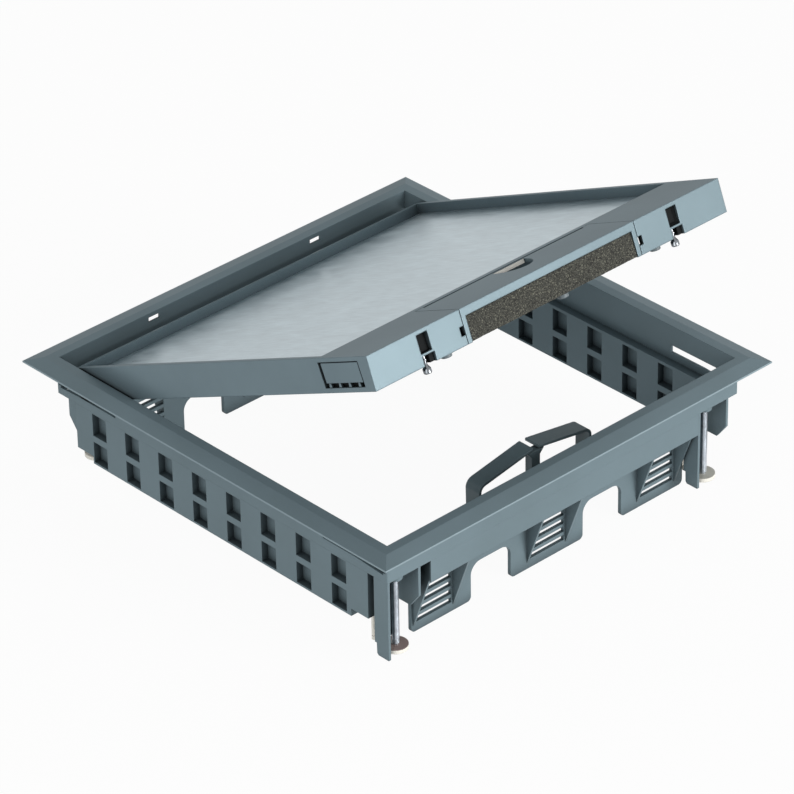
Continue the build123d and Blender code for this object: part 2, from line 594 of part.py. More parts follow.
def make_flap():
    """Cord outlet flap: top plate with a front lip and two cheeks that hold the foam."""
    half = OUTLET_HALF_WIDTH - OUTLET_GAP
    rear = OUTLET_REAR - GROOVE_WIDTH
    cheek_back = LID_FRONT + FLAP_CHEEK_LENGTH
    lip_front = LID_FRONT + LID_DRAFT * FLAP_LIP_HEIGHT / LID_THICKNESS
    lip_bottom = level(FLAP_LIP_HEIGHT)
    plate = along_x([(LID_FRONT, RIM_HEIGHT), (lip_front, lip_bottom), (cheek_back, lip_bottom),
                     (cheek_back, level(FLAP_TOP_THICKNESS)), (rear, level(FLAP_TOP_THICKNESS)),
                     (rear, RIM_HEIGHT)], (-half, half))
    cheek = [(lip_front, lip_bottom), (LID_FRONT + LID_DRAFT, LID_BOTTOM), (cheek_back, LID_BOTTOM),
             (cheek_back, lip_bottom)]
    flap = plate + along_x(cheek, (-half, -half + FLAP_CHEEK)) + along_x(cheek, (half - FLAP_CHEEK, half))
    flap += slab((-half, half), (LID_FRONT + LID_DRAFT + FOAM_THICKNESS, cheek_back),
                 (level(FOAM_BOTTOM_DEPTH), lip_bottom))
    for side in (-1, 1):
        across = sorted((side * GROOVE_HALF_WIDTH, side * half))
        flap += slab(across, (rear, OUTLET_REAR - OUTLET_GAP), (level(FLAP_TOP_THICKNESS), RIM_HEIGHT))
    grip = Pos(GRIP_X, GRIP_Y, lip_bottom) * extrude(Ellipse(GRIP_HALF_WIDTH, GRIP_REACH), amount=FLAP_LIP_HEIGHT + CUT)
    grip -= slab((-half, half), (GRIP_Y, GRIP_Y + GRIP_REACH + CUT), (lip_bottom - CUT, RIM_HEIGHT + 2 * CUT))
    return raised(flap - grip)


def make_grip_edge():
    """Thin pale strip on the straight rear wall of the finger hole."""
    half = GRIP_HALF_WIDTH - GRIP_EDGE_THICKNESS
    return raised(slab((GRIP_X - half, GRIP_X + half), (GRIP_Y - GRIP_EDGE_THICKNESS, GRIP_Y),
                       [level(depth) for depth in reversed(GRIP_EDGE_DEPTHS)]))


def make_foam():
    """Soft sealing strip below the flap's lip."""
    half = OUTLET_HALF_WIDTH - OUTLET_GAP - FLAP_CHEEK
    front = LID_FRONT + LID_DRAFT
    return raised(slab((-half, half), (front, front + FOAM_THICKNESS),
                       (level(FOAM_BOTTOM_DEPTH), level(FLAP_LIP_HEIGHT))))


def make_insert():
    """Right side insert: a backed tile with a row of teeth below it, flush with the lid's side."""
    near, far = (LID_FRONT + reach for reach in INSERT_TILE_SPAN)
    top, tile_bottom = (level(depth) for depth in INSERT_TILE_DEPTHS)
    bottom = level(INSERT_DEPTHS[1])
    span = (LID_INNER_HALF, LID_HALF_WIDTH)
    tile = slab(span, (near, far), (tile_bottom, top))
    tile += slab((LID_INNER_HALF - INSERT_BACKING, LID_INNER_HALF),
                 (LID_FRONT + INSERT_SPAN[0] - INSERT_BACKING, far), (tile_bottom, top))
    pitch = (far - near) / TOOTH_COUNT
    gap = pitch / 5
    for i in range(TOOTH_COUNT):
        start = near + i * pitch + gap / 2
        end = start + pitch - gap
        tile += along_x([(start, tile_bottom), (end, tile_bottom), (end - gap, bottom), (start + gap, bottom)],
                        span)
    return raised(tile)


def make_stud():
    """Right catch stud, which snaps into the front ledge."""
    head_bottom = LID_BOTTOM - STUD_LENGTH
    stem = pin_z(LATCH_X, STUD_Y, (head_bottom, level(LATCH_NOTCH_DEPTH)), STUD_STEM_RADIUS)
    head = pin_z(LATCH_X, STUD_Y, (head_bottom, head_bottom + STUD_HEAD_HEIGHT), STUD_HEAD_RADIUS)
    return raised(stem + fillet(head.edges().filter_by(GeomType.CIRCLE), STUD_HEAD_HEIGHT / 3))


def make_clip(side):
    """Spring clip of one catch, seated in the notch beside its stud."""
    x = side * LATCH_X
    return raised(slab((x + CLIP_SPAN[0], x + CLIP_SPAN[1]), (NOTCH_BACK - CLIP_LENGTH, NOTCH_BACK),
                       [level(depth) for depth in CLIP_DEPTHS]))


def make_bumper(x, top_depth):
    """Round bumper that meets the ledge when the lid is shut."""
    bottom = LID_BOTTOM - BUMPER_HEIGHT
    bumper = pin_z(x, LID_FRONT + BUMPER_SETBACK, (bottom, level(top_depth)), BUMPER_RADIUS)
    lower = bumper.edges().filter_by(GeomType.CIRCLE).group_by(Axis.Z)[0]
    return raised(fillet(lower, BUMPER_HEIGHT / 3))


def make_pieces():
    """Every piece of the outlet, by node name."""
    rail = make_side_wall()
    arm = make_arm()
    pivot = make_pivot()
    shoe = make_shoe()
    hinge_pin = make_hinge_pin()
    insert = make_insert()
    stud = make_stud()
    pieces = {
        "rim": make_rim(),
        "side_wall_right": rail,
        "side_wall_left": turned(rail),
        "front_wall": make_end_wall(),
        "back_wall": turned(make_end_wall()),
        "arm_pivot_right": pivot,
        "arm_pivot_left": mirrored(pivot),
        "retainer_post": make_post(),
        "retainer_arm_right": arm,
        "retainer_arm_left": mirrored(arm),
        "hinge_shoe_right": shoe,
        "hinge_shoe_left": mirrored(shoe),
        "hinge_pin_right": hinge_pin,
        "hinge_pin_left": mirrored(hinge_pin),
        "lid_tray": make_tray(),
        "deck_ribs": make_ribs(),
        "lid_plate": make_plate(),
        "side_insert_right": insert,
        "side_insert_left": mirrored(insert),
        "catch_stud_right": stud,
        "catch_stud_left": mirrored(stud),
        "catch_clip_right": make_clip(1),
        "catch_clip_left": make_clip(-1),
        "bumper_right": make_bumper(BUMPER_X, LID_THICKNESS),
        "bumper_left": make_bumper(-BUMPER_X, LID_THICKNESS),
        "outlet_flap": make_flap(),
        "grip_edge": make_grip_edge(),
        "foam_strip": make_foam(),
        "bumper_middle": make_bumper(MIDDLE_BUMPER_X, FOAM_BOTTOM_DEPTH),
    }
    for corner, start, rear in (("front_left", BRACKET_LEFT, False), ("front_right", BRACKET_RIGHT, False),
                                ("rear_right", BRACKET_LEFT, True), ("rear_left", BRACKET_RIGHT, True)):
        corner_pieces = {"bracket": make_bracket(start), "screw": make_screw(start), "foot_pad": make_pad(start)}
        for name, shape in corner_pieces.items():
            pieces[f"{name}_{corner}"] = turned(shape) if rear else shape
    return pieces


os.makedirs("parts", exist_ok=True)
for node, solid in make_pieces().items():
    export_step(solid, f"parts/{node}.step")
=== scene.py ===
"""Looks of a square floor service outlet: a drop-in frame with its hinged lid raised."""

import json
import logging
import math
from dataclasses import dataclass
from enum import Enum

import bpy
from mathutils import Matrix, Vector


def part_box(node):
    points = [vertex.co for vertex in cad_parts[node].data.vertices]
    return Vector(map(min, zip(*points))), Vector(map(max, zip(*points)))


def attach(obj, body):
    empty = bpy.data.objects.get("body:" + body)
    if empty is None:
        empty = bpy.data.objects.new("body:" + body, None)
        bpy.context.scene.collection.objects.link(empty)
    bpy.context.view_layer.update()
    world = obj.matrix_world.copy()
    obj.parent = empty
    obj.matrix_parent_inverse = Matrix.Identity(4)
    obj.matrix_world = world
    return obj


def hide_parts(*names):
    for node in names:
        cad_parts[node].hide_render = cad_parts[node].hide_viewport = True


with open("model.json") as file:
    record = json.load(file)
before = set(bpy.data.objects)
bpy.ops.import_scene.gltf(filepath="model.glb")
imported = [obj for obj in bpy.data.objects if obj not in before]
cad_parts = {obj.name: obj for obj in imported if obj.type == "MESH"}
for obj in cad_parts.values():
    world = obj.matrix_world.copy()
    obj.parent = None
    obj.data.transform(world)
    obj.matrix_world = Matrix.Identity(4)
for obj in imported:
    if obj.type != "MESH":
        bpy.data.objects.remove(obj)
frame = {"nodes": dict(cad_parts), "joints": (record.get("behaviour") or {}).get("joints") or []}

LOG = logging.getLogger("floor_outlet")
MM = 0.001
PHOTO_SIDE_PX = 794
SENSOR_MM = 36.0
CORNERS = ("front_left", "front_right", "rear_left", "rear_right")
WHITE = (1.0, 1.0, 1.0, 1.0)
BLACK = (0.0, 0.0, 0.0, 1.0)
TONE_STOPS = (0.3, 0.7)
GRAIN_DEPTH = 0.03 * MM
GRAIN_STRENGTH = 0.35
SHADING_SAMPLES = 6

Tone = tuple[int, int, int]
Colour = tuple[float, float, float, float]
Point = tuple[float, float, float]
Socket = bpy.types.NodeSocket


class Hand(Enum):
    """Side of the lid that a paired piece belongs to."""

    LEFT = "left"
    RIGHT = "right"

    @property
    def side(self) -> int:
        """Sign of x on this side."""
        return 1 if self is Hand.RIGHT else -1


def srgb(tone: Tone) -> Colour:
    """Linear colour of an 8-bit display colour.

    Args:
        tone: Red, green and blue, each 0 to 255.

    Returns:
        Linear red, green, blue and an alpha of 1.
    """
    def linear(value: int) -> float:
        """Linear level of one 8-bit channel."""
        share = value / 255
        return share / 12.92 if share <= 0.04045 else ((share + 0.055) / 1.055) ** 2.4

    red, green, blue = (linear(value) for value in tone)
    return red, green, blue, 1.0


def grain_group() -> bpy.types.NodeTree:
    """Moulding grain shared by the plastics: a fine height and a soft tone.

    Returns:
        The node group, built once.
    """
    name = "moulding_grain"
    if name in bpy.data.node_groups:
        return bpy.data.node_groups[name]
    group = bpy.data.node_groups.new(name, "ShaderNodeTree")
    for entry, kind in (("Vector", "Vector"), ("Grain Scale", "Float"), ("Tone Scale", "Float")):
        group.interface.new_socket(name=entry, in_out="INPUT", socket_type=f"NodeSocket{kind}")
    for exit_name in ("Height", "Tone"):
        group.interface.new_socket(name=exit_name, in_out="OUTPUT", socket_type="NodeSocketFloat")
    nodes, links = group.nodes, group.links
    start = nodes.new("NodeGroupInput")
    end = nodes.new("NodeGroupOutput")
    fine = nodes.new("ShaderNodeTexNoise")
    fine.inputs["Detail"].default_value = 3.0
    broad = nodes.new("ShaderNodeTexNoise")
    broad.inputs["Detail"].default_value = 4.0
    broad.inputs["Roughness"].default_value = 0.6
    for texture, scale, result in ((fine, "Grain Scale", "Height"), (broad, "Tone Scale", "Tone")):
        links.new(start.outputs["Vector"], texture.inputs["Vector"])
        links.new(start.outputs[scale], texture.inputs["Scale"])
        links.new(texture.outputs["Fac"], end.inputs[result])
    return group


class Surface:
    """Node material in the making, around its Principled BSDF."""

    def __init__(self, name: str) -> None:
        """Starts an empty material.

        Args:
            name: Name of the material.
        """
        self.material = bpy.data.materials.new(name)
        self.material.use_nodes = True
        self.nodes = self.material.node_tree.nodes
        self.links = self.material.node_tree.links
        self.shader = self.nodes["Principled BSDF"]

    def feed(self, socket: Socket, value: Socket | Colour | float) -> None:
        """Links an output to an input, or sets the input to a constant.

        Args:
            socket: The input.
            value: Output of another node, or a constant.
        """
        if isinstance(value, Socket):
            self.links.new(value, socket)
        else:
            socket.default_value = value

    def object_vector(self, stretch: Point = (1, 1, 1), turn: Point = (0, 0, 0)) -> Socket:
        """Object coordinates through a Mapping node.

        Args:
            stretch: Scale of the pattern along each axis.
            turn: Turn of the pattern in radians.

        Returns:
            The vector output.
        """
        coordinates = self.nodes.new("ShaderNodeTexCoord")
        mapping = self.nodes.new("ShaderNodeMapping")
        mapping.inputs["Scale"].default_value = stretch
        mapping.inputs["Rotation"].default_value = turn
        self.links.new(coordinates.outputs["Object"], mapping.inputs["Vector"])
        return mapping.outputs["Vector"]

    def noise(self, vector: Socket, scale: float, detail: float = 2.0, distortion: float = 0.0) -> Socket:
        """Noise value.

        Args:
            vector: Coordinates of the pattern.
            scale: Scale of the pattern.
            detail: Number of finer octaves.
            distortion: How far the pattern is warped.

        Returns:
            The value output.
        """
        texture = self.nodes.new("ShaderNodeTexNoise")
        self.links.new(vector, texture.inputs["Vector"])
        texture.inputs["Scale"].default_value = scale
        texture.inputs["Detail"].default_value = detail
        texture.inputs["Distortion"].default_value = distortion
        return texture.outputs["Fac"]

    def grain(self, vector: Socket, grain_scale: float, tone_scale: float) -> tuple[Socket, Socket]:
        """Moulding grain.

        Args:
            vector: Coordinates of the pattern.
            grain_scale: Scale of the fine relief.
            tone_scale: Scale of the soft clouds of tone.

        Returns:
            The height and the tone.
        """
        group = self.nodes.new("ShaderNodeGroup")
        group.node_tree = grain_group()
        self.links.new(vector, group.inputs["Vector"])
        group.inputs["Grain Scale"].default_value = grain_scale
        group.inputs["Tone Scale"].default_value = tone_scale
        return group.outputs["Height"], group.outputs["Tone"]

    def maths(self, operation: str, *values: Socket | float) -> Socket:
        """Result of one operation on its values, in their order."""
        node = self.nodes.new("ShaderNodeMath")
        node.operation = operation
        for socket, value in zip(node.inputs, values):
            self.feed(socket, value)
        return node.outputs["Value"]

    def mapped(self, value: Socket, start: float, end: float, low: float = 0.0, high: float = 1.0) -> Socket:
        """Value carried from one range to another and held within it.

        Args:
            value: The value.
            start: Value that gives low.
            end: Value that gives high.
            low: Result at start.
            high: Result at end.

        Returns:
            The result.
        """
        node = self.nodes.new("ShaderNodeMapRange")
        self.links.new(value, node.inputs["Value"])
        for entry, level in (("From Min", start), ("From Max", end), ("To Min", low), ("To Max", high)):
            node.inputs[entry].default_value = level
        return node.outputs["Result"]

    def ramp(self, mask: Socket, stops: tuple[float, float], low: Colour, high: Colour) -> Socket:
        """Colour ramp between two stops.

        Args:
            mask: The value that drives the ramp.
            stops: Places of the two stops.
            low: Colour of the first stop.
            high: Colour of the second stop.

        Returns:
            The colour output.
        """
        node = self.nodes.new("ShaderNodeValToRGB")
        for element, place, colour in zip(node.color_ramp.elements, stops, (low, high)):
            element.position = place
            element.color = colour
        self.links.new(mask, node.inputs["Fac"])
        return node.outputs["Color"]

    def mixed(self, share: Socket, under: Socket | Colour, over: Socket | Colour) -> Socket:
        """Mix of two colours.

        Args:
            share: Share of the second colour.
            under: Colour where the share is 0.
            over: Colour where the share is 1.

        Returns:
            The colour output.
        """
        node = self.nodes.new("ShaderNodeMix")
        node.data_type = "RGBA"
        self.links.new(share, node.inputs["Factor"])
        self.feed(node.inputs["A"], under)
        self.feed(node.inputs["B"], over)
        return node.outputs["Result"]

    def painted_recess_shade(self, colour: Socket, reach: float, darkest: Tone, closed: float, opened: float) -> Socket:
        """Paints shade into a colour in seams, slots and recesses, by ambient occlusion.

        Args:
            colour: Colour of the open surface.
            reach: Size of the recesses in metres.
            darkest: Colour of the painted shade deep in a recess.
            closed: Openness, 0 to 1, below which the darkest colour shows.
            opened: Openness, 0 to 1, above which a surface keeps its own colour.

        Returns:
            The colour output.
        """
        # Painted shade: ambient occlusion darkens the colour where a surface is closed in.
        openness = self.nodes.new("ShaderNodeAmbientOcclusion")
        openness.samples = SHADING_SAMPLES
        openness.inputs["Distance"].default_value = reach
        share = self.mapped(openness.outputs["AO"], closed, opened)
        return self.mixed(share, srgb(darkest), colour)

    def bump(self, height: Socket, depth: float, strength: float, edge_radius: float = 0.0) -> None:
        """Feeds a height, and where asked softened edges, to the shader's normal.

        Args:
            height: Height value.
            depth: Height of the relief in metres.
            strength: Strength of the Bump node.
            edge_radius: Radius that moulded edges seem to have, or 0 for sharp ones.
        """
        node = self.nodes.new("ShaderNodeBump")
        node.inputs["Distance"].default_value = depth
        node.inputs["Strength"].default_value = strength
        self.links.new(height, node.inputs["Height"])
        if edge_radius > 0:
            edges = self.nodes.new("ShaderNodeBevel")
            edges.samples = SHADING_SAMPLES
            edges.inputs["Radius"].default_value = edge_radius
            self.links.new(edges.outputs["Normal"], node.inputs["Normal"])
        self.links.new(node.outputs["Normal"], self.shader.inputs["Normal"])


@dataclass(frozen=True)
class MouldedPlastic:
    """Moulded plastic with fine grain, a faint cloudiness and painted shade in its recesses."""

    name: str
    dark: Tone
    light: Tone
    roughness: float
    specular: float = 0.28
    metallic: float = 0.0
    grain_scale: float = 900.0
    tone_scale: float = 14.0
    edge_radius: float = 0.5 * MM
    recess_reach: float = 9 * MM
    recess_shade_tone: Tone = (40, 46, 49)
    closed_below: float = 0.12
    open_from: float = 0.66

    def coat(self, surface: Surface, vector: Socket, tone: Socket) -> Socket:
        """Colour of the open surface.

        Args:
            surface: The material in the making.
            vector: Coordinates of the pattern; not used by this plain coat.
            tone: Soft clouds of tone.

        Returns:
            The colour output.
        """
        return surface.ramp(tone, TONE_STOPS, srgb(self.dark), srgb(self.light))

    def build(self) -> bpy.types.Material:
        """Makes the material."""
        surface = Surface(self.name)
        vector = surface.object_vector()
        height, tone = surface.grain(vector, self.grain_scale, self.tone_scale)
        # Painted shade in the recesses, mixed into the base colour.
        colour = surface.painted_recess_shade(self.coat(surface, vector, tone), self.recess_reach, self.recess_shade_tone,
                                  self.closed_below, self.open_from)
        shader = surface.shader
        surface.links.new(colour, shader.inputs["Base Color"])
        shader.inputs["Roughness"].default_value = self.roughness
        shader.inputs["Specular IOR Level"].default_value = self.specular
        shader.inputs["Metallic"].default_value = self.metallic
        surface.bump(height, GRAIN_DEPTH, GRAIN_STRENGTH, self.edge_radius)
        return surface.material


@dataclass(frozen=True)
class HighlightedFlange(MouldedPlastic):
    """Moulded plastic of a square flange with a painted highlight along its outermost lip."""

    lip_half: float = 131.9 * MM
    lip_width: float = 0.2 * MM
    lip_highlight_tone: Tone = (140, 157, 164)

    def coat(self, surface: Surface, vector: Socket, tone: Socket) -> Socket:
        """Colour of the open surface, with a painted highlight on the lip.

        Args:
            surface: The material in the making.
            vector: Coordinates of the pattern.
            tone: Soft clouds of tone.

        Returns:
            The colour output.
        """
        split = surface.nodes.new("ShaderNodeSeparateXYZ")
        surface.links.new(vector, split.inputs["Vector"])
        distances = (surface.maths("ABSOLUTE", split.outputs[axis]) for axis in "XY")
        outermost = surface.maths("MAXIMUM", *distances)
        # Painted highlight: a thin lighter band where the flange reaches its outer edge.
        lip = surface.mapped(outermost, self.lip_half - self.lip_width, self.lip_half)
        return surface.mixed(lip, super().coat(surface, vector, tone), srgb(self.lip_highlight_tone))


@dataclass(frozen=True)
class RolledSheet:
    """Bare sheet metal with soft clouds and streaks along its rolling direction."""

    name: str
    dark: Tone
    light: Tone
    metallic: float
    roughness: float
    tilt: float
    streak_scale: Point = (130.0, 50.0, 50.0)
    brush_scale: Point = (900.0, 90.0, 90.0)
    brush_share: float = 0.45
    tone_stops: tuple[float, float] = (0.32, 0.68)
    smoother: float = 0.06
    rougher: float = 0.08
    relief: float = 0.06 * MM
    relief_strength: float = 0.2

    def build(self) -> bpy.types.Material:
        """Makes the material."""
        surface = Surface(self.name)
        turn = (self.tilt, 0.0, 0.0)
        streaks = surface.noise(surface.object_vector(self.streak_scale, turn), 1.0, 5.0, 0.6)
        brushing = surface.noise(surface.object_vector(self.brush_scale, turn), 1.0, 3.0)
        both = surface.nodes.new("ShaderNodeMix")
        both.inputs["Factor"].default_value = self.brush_share
        surface.links.new(streaks, both.inputs["A"])
        surface.links.new(brushing, both.inputs["B"])
        colour = surface.ramp(both.outputs["Result"], self.tone_stops, srgb(self.dark), srgb(self.light))
        gloss = surface.mapped(streaks, 0.0, 1.0, self.roughness - self.smoother,
                               self.roughness + self.rougher)
        shader = surface.shader
        surface.links.new(colour, shader.inputs["Base Color"])
        surface.links.new(gloss, shader.inputs["Roughness"])
        shader.inputs["Metallic"].default_value = self.metallic
        surface.bump(streaks, self.relief, self.relief_strength)
        return surface.material


@dataclass(frozen=True)
class OpenFoam:
    """Cut open-cell foam: dark pores between flecked, lighter cell walls."""

    name: str
    pore: Tone
    wall: Tone
    fleck: Tone
    roughness: float = 0.95
    cell_scale: float = 1150.0
    fleck_scale: float = 1610.0
    cell_stops: tuple[float, float] = (0.2, 0.75)
    fleck_stops: tuple[float, float] = (0.55, 0.68)
    relief: float = 0.4 * MM
    relief_strength: float = 0.6

    def build(self) -> bpy.types.Material:
        """Makes the material."""
        surface = Surface(self.name)
        vector = surface.object_vector()
        texture = surface.nodes.new("ShaderNodeTexVoronoi")
        texture.inputs["Scale"].default_value = self.cell_scale
        surface.links.new(vector, texture.inputs["Vector"])
        cells = texture.outputs["Distance"]
        base = surface.ramp(cells, self.cell_stops, srgb(self.wall), srgb(self.pore))
        flecks = surface.ramp(surface.noise(vector, self.fleck_scale, 4.0), self.fleck_stops, BLACK, WHITE)
        shader = surface.shader
        surface.links.new(surface.mixed(flecks, base, srgb(self.fleck)), shader.inputs["Base Color"])
        shader.inputs["Roughness"].default_value = self.roughness
        surface.bump(cells, self.relief, self.relief_strength)
        return surface.material


@dataclass(frozen=True)
class FootPad:
    """Pale moulded foot pad whose round top face carries a painted shade."""

    name: str
    dark: Tone
    light: Tone
    top: Tone
    top_height: float = 8.1 * MM
    top_depth: float = 0.15 * MM
    roughness: float = 0.5
    grain_scale: float = 900.0
    tone_scale: float = 18.0
    edge_radius: float = 0.4 * MM

    def build(self) -> bpy.types.Material:
        """Makes the material."""
        surface = Surface(self.name)
        vector = surface.object_vector()
        height, tone = surface.grain(vector, self.grain_scale, self.tone_scale)
        pale = surface.ramp(tone, TONE_STOPS, srgb(self.dark), srgb(self.light))
        split = surface.nodes.new("ShaderNodeSeparateXYZ")
        surface.links.new(vector, split.inputs["Vector"])
        # Painted shade: the round top face takes the darker top tone.
        on_top = surface.maths("COMPARE", split.outputs["Z"], self.top_height, self.top_depth)
        shader = surface.shader
        surface.links.new(surface.mixed(on_top, pale, srgb(self.top)), shader.inputs["Base Color"])
        shader.inputs["Roughness"].default_value = self.roughness
        surface.bump(height, GRAIN_DEPTH, GRAIN_STRENGTH, self.edge_radius)
        return surface.material


@dataclass(frozen=True)
class PlatedMetal:
    """Plated small metal with a slightly uneven tone."""

    name: str
    light: Tone
    roughness: float
    blotch_scale: float = 400.0
    tone_step: int = 22

    def build(self) -> bpy.types.Material:
        """Makes the material."""
        surface = Surface(self.name)
        blotches = surface.noise(surface.object_vector(), self.blotch_scale)
        red, green, blue = (level - self.tone_step for level in self.light)
        colour = surface.ramp(blotches, TONE_STOPS, srgb((red, green, blue)), srgb(self.light))
        shader = surface.shader
        surface.links.new(colour, shader.inputs["Base Color"])
        shader.inputs["Metallic"].default_value = 1.0
        shader.inputs["Roughness"].default_value = self.roughness
        return surface.material


class Finishes:
    """Every finish of the outlet, built once."""

    def __init__(self) -> None:
        """Builds the materials."""
        frame_tones = ((108, 124, 130), (115, 132, 139))
        frame_sheen = {"roughness": 0.4, "specular": 0.05, "metallic": 0.16, "edge_radius": 0.4 * MM}
        pad_tones = ((226, 223, 212), (240, 238, 230))
        # Painted shade: each moulded plastic darkens in its recesses towards its recess shade tone.
        self.frame_plastic = MouldedPlastic("frame_plastic", *frame_tones, **frame_sheen,
                                            recess_reach=13 * MM, recess_shade_tone=(20, 25, 27),
                                            open_from=0.78).build()
        # Flange plastic with a painted highlight on its outer lip.
        self.flange_plastic = HighlightedFlange("flange_plastic", *frame_tones, **frame_sheen).build()
        self.lid_plastic = MouldedPlastic("lid_plastic", (108, 124, 131), (116, 133, 140), 0.3, 0.0, 0.34,
                                          edge_radius=0.7 * MM, recess_reach=16 * MM,
                                          recess_shade_tone=(30, 32, 33), open_from=0.9).build()
        self.arm_plastic = MouldedPlastic("arm_plastic", (88, 103, 108), (98, 113, 118), 0.42,
                                          recess_reach=2 * MM).build()
        self.black_plastic = MouldedPlastic("black_plastic", (18, 21, 22), (26, 29, 30), 0.6, 0.08,
                                            recess_shade_tone=(10, 11, 12)).build()
        # Painted highlight: the near-white grip edge stands in for the lit rear wall of the finger hole.
        self.grip_highlight_white = MouldedPlastic("grip_highlight_white", (238, 236, 228), (248, 246, 238), 0.4,
                                         recess_reach=0.5 * MM).build()
        self.grey_bumper = MouldedPlastic("grey_bumper", (92, 102, 106), (108, 118, 122), 0.35).build()
        # Painted shade on the pads' top faces, deeper on the front left pad.
        self.pad_plastic = FootPad("pad_plastic", *pad_tones, (184, 183, 174)).build()
        self.shaded_top_pad = FootPad("shaded_top_pad", *pad_tones, (140, 123, 119)).build()
        self.insert_plate = RolledSheet("insert_plate", (155, 171, 178), (184, 199, 205), 0.8, 0.3,
                                        tilt=math.radians(25.08)).build()
        self.foam = OpenFoam("foam", (32, 32, 29), (65, 66, 60), (116, 116, 103)).build()
        self.zinc = PlatedMetal("zinc", (206, 212, 218), 0.28).build()
        self.chrome = PlatedMetal("chrome", (134, 138, 142), 0.16).build()


def deselect_all() -> None:
    """Clears the selection, so that an operator acts on the new piece alone."""
    if bpy.context.mode != "OBJECT":
        bpy.ops.object.mode_set(mode="OBJECT")
    bpy.ops.object.select_all(action="DESELECT")


def select_only(piece: bpy.types.Object) -> None:
    """Selects one piece and makes it the active one."""
    deselect_all()
    piece.select_set(True)
    bpy.context.view_layer.objects.active = piece


def bake_place(piece: bpy.types.Object) -> None:
    """Applies a piece's place, turn and scale to its mesh."""
    select_only(piece)
    bpy.ops.object.transform_apply(location=True, rotation=True, scale=True)


def apply_modifiers(piece: bpy.types.Object) -> None:
    """Applies every modifier of a piece, in order."""
    select_only(piece)
    for modifier in list(piece.modifiers):
        bpy.ops.object.modifier_apply(modifier=modifier.name)


def block(name: str, low: Point, high: Point, edge: float) -> bpy.types.Object:
    """Block between two corners, with its edges rounded in edit mode.

    Args:
        name: Name of the piece.
        low: Lowest corner.
        high: Highest corner.
        edge: Width of the rounded edges.

    Returns:
        The new piece.
    """
    deselect_all()
    centre = tuple((a + b) / 2 for a, b in zip(low, high))
    bpy.ops.mesh.primitive_cube_add(size=1.0, location=centre, scale=tuple(b - a for a, b in zip(low, high)))
    piece = bpy.context.active_object
    piece.name = name
    bake_place(piece)
    bpy.ops.object.mode_set(mode="EDIT")
    bpy.ops.mesh.select_all(action="SELECT")
    bpy.ops.mesh.bevel(offset=edge, segments=2, affect="EDGES")
    bpy.ops.object.mode_set(mode="OBJECT")
    return piece


def joined(pieces: list[bpy.types.Object], name: str) -> bpy.types.Object:
    """Joins pieces into one mesh.

    Args:
        pieces: The pieces, of which the first takes in the others.
        name: Name of the result.

    Returns:
        The joined piece.
    """
    select_only(pieces[0])
    for piece in pieces:
        piece.select_set(True)
    bpy.ops.object.join()
    pieces[0].name = name
    return pieces[0]


def raise_with_lid(piece: bpy.types.Object) -> None:
    """Moves a piece from its place on the shut lid to the raised lid, as the frame's joints say."""
    joints = {joint["name"]: joint for joint in frame["joints"]}
    hinge, slide = joints["lid_hinge"], joints["lid_slide"]
    pin = Vector(hinge["pos_m"])
    shut_pin = pin + Vector(slide["axis"]) * slide["range_m"][0]
    turn = Matrix.Rotation(-math.radians(hinge["range_deg"][0]), 4, Vector(hinge["axis"]))
    piece.matrix_world = Matrix.Translation(pin) @ turn @ Matrix.Translation(-shut_pin)
    bake_place(piece)


def dress(nodes: tuple[str, ...], material: bpy.types.Material) -> None:
    """Gives CAD nodes one material.

    Args:
        nodes: Names of the nodes.
        material: The material.
    """
    for name in nodes:
        mesh = frame["nodes"][name].data
        mesh.materials.clear()
        mesh.materials.append(material)


